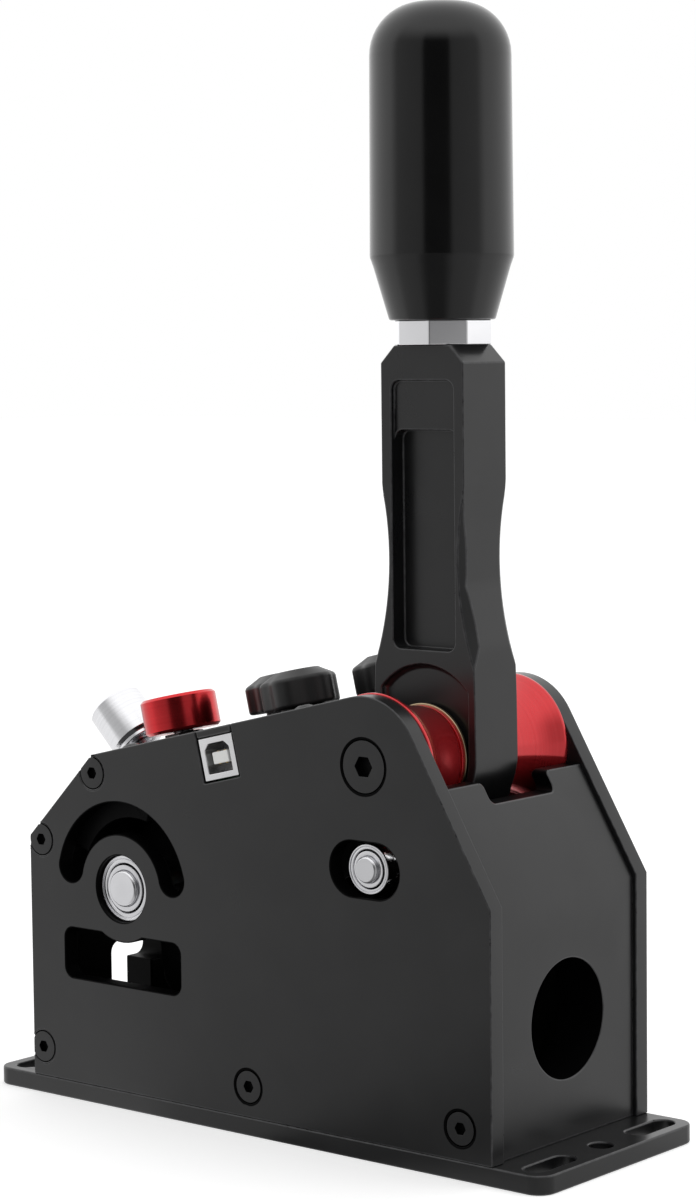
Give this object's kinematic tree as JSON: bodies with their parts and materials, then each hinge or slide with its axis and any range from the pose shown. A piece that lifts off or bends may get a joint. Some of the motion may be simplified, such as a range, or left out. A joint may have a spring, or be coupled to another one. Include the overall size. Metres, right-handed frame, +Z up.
{
  "type": "sequential gear shifter",
  "caption": "Sequential sim racing gear shifter: black side plates on a slotted base, a sprung lever with a round grip, red bushes, and detent adjuster and star knobs on a sloped top.",
  "frame": {"origin": "middle of the base plate's underside", "axes": "+X along the base towards the lever end, +Y to the right side plate, +Z up"},
  "size_m": [0.192, 0.068, 0.2949],
  "materials": {
    "black_anodised": "satin black anodised, fine bead-blasted grain",
    "black_steel": "black oxide",
    "red_anodised": "glossy red anodised, turned",
    "brass": "plain turned",
    "bright_steel": "ground",
    "silver_alloy": "machined, bright",
    "grip_black": "satin",
    "knob_plastic": "moulded, matte",
    "board": "solder mask",
    "white_plastic": "moulded"
  },
  "bodies": {
    "frame": {"base_plate": "black_anodised", "left_side_plate": "black_anodised", "right_side_plate": "black_anodised", "front_end_cover": "black_anodised", "rear_end_cover": "black_anodised", "top_cover": "black_anodised", "detent_block": "black_anodised", "foot_block": "black_anodised", "cover_support_bar": "black_anodised", "side_screws": "black_steel", "pivot_screws": "black_steel", "base_screws": "black_steel", "cover_screws": "black_steel", "pivot_axle": "bright_steel", "left_pivot_bush": "red_anodised", "right_pivot_bush": "red_anodised", "thrust_washers": "brass", "shaft_outer_rings": "bright_steel", "red_spring": "bright_steel", "silver_spring": "bright_steel", "red_lock_nut": "black_steel", "silver_lock_nut": "black_steel", "sensor_tray": "black_anodised", "circuit_board": "board", "board_standoffs": "bright_steel", "board_screws": "bright_steel", "board_parts": "knob_plastic", "usb_shell": "bright_steel", "usb_tongue": "white_plastic"},
    "lever": {"lever": "black_anodised", "lever_bearings": "bright_steel", "grip_stud": "bright_steel", "lock_collar": "silver_alloy", "grip": "grip_black", "magnet": "bright_steel", "cross_pin": "bright_steel", "pin_spacers": "bright_steel", "roller_inner_rings": "bright_steel"},
    "left_roller": {"left_roller": "bright_steel"},
    "right_roller": {"right_roller": "bright_steel"},
    "link": {"connecting_link": "black_steel"},
    "rocker": {"rocker": "black_steel", "rocker_pin": "bright_steel", "front_shaft": "bright_steel", "shaft_spacers": "bright_steel", "shaft_inner_rings": "bright_steel"},
    "red_plunger": {"red_plunger": "bright_steel"},
    "red_adjuster": {"red_knob": "red_anodised", "red_adjuster_screw": "bright_steel"},
    "silver_plunger": {"silver_plunger": "bright_steel"},
    "silver_adjuster": {"silver_knob": "silver_alloy", "silver_adjuster_screw": "bright_steel"},
    "front_star": {"front_star_knob": "knob_plastic", "front_star_stud": "bright_steel"},
    "left_star": {"left_star_knob": "knob_plastic", "left_star_stud": "bright_steel"},
    "rear_star": {"rear_star_knob": "knob_plastic", "rear_star_stud": "bright_steel"}
  },
  "joints": [
    {"name": "lever_swing", "type": "hinge", "parent": "frame", "child": "lever", "pos_m": [0.0405, 0, 0.1015], "axis": [0, 1, 0], "range_deg": [-9, 9], "stiffness_Nm_per_rad": 20},
    {"name": "rocker_swing", "type": "hinge", "parent": "frame", "child": "rocker", "pos_m": [-0.0455, 0, 0.061], "axis": [0, 1, 0], "range_deg": [-9.1, 9.1]},
    {"name": "link_swing", "type": "hinge", "parent": "lever", "child": "link", "pos_m": [0.0405, 0, 0.0751], "axis": [0, 1, 0], "range_deg": [-9.1, 9.1]},
    {"name": "left_roller_spin", "type": "hinge", "parent": "lever", "child": "left_roller", "pos_m": [0.0405, -0.0307, 0.0751], "axis": [0, 1, 0], "continuous": true},
    {"name": "right_roller_spin", "type": "hinge", "parent": "lever", "child": "right_roller", "pos_m": [0.0405, 0.0307, 0.0751], "axis": [0, 1, 0], "continuous": true},
    {"name": "red_plunger_slide", "type": "slide", "parent": "frame", "child": "red_plunger", "axis": [-0.2319, 0, 0.9727], "range_m": [0, 0.0012], "stiffness_N_per_m": 400, "deforming": ["red_spring"]},
    {"name": "silver_plunger_slide", "type": "slide", "parent": "frame", "child": "silver_plunger", "axis": [-0.7071, 0, 0.7071], "range_m": [0, 0.0012], "stiffness_N_per_m": 400, "deforming": ["silver_spring"]},
    {"name": "red_knob_turn", "type": "hinge", "parent": "frame", "child": "red_adjuster", "pos_m": [-0.05061, 0, 0.09062], "axis": [-0.2319, 0, 0.9727], "range_deg": [-180, 180]},
    {"name": "silver_knob_turn", "type": "hinge", "parent": "frame", "child": "silver_adjuster", "pos_m": [-0.07301, 0.008, 0.09006], "axis": [-0.7071, 0, 0.7071], "range_deg": [-180, 180]},
    {"name": "front_star_turn", "type": "hinge", "parent": "frame", "child": "front_star", "pos_m": [-0.00464, -0.004, 0.10924], "axis": [-0.2319, 0, 0.9727], "range_deg": [-180, 180]},
    {"name": "left_star_turn", "type": "hinge", "parent": "frame", "child": "left_star", "pos_m": [-0.02565, 0.0139, 0.10423], "axis": [-0.2319, 0, 0.9727], "range_deg": [-180, 180]},
    {"name": "rear_star_turn", "type": "hinge", "parent": "frame", "child": "rear_star", "pos_m": [0.01131, 0.0159, 0.11305], "axis": [-0.2319, 0, 0.9727], "range_deg": [-180, 180]}
  ],
  "couplings": [
    {"joint": "rocker_swing", "follows": "lever_swing", "ratio": 1},
    {"joint": "link_swing", "follows": "lever_swing", "ratio": -1}
  ]
}
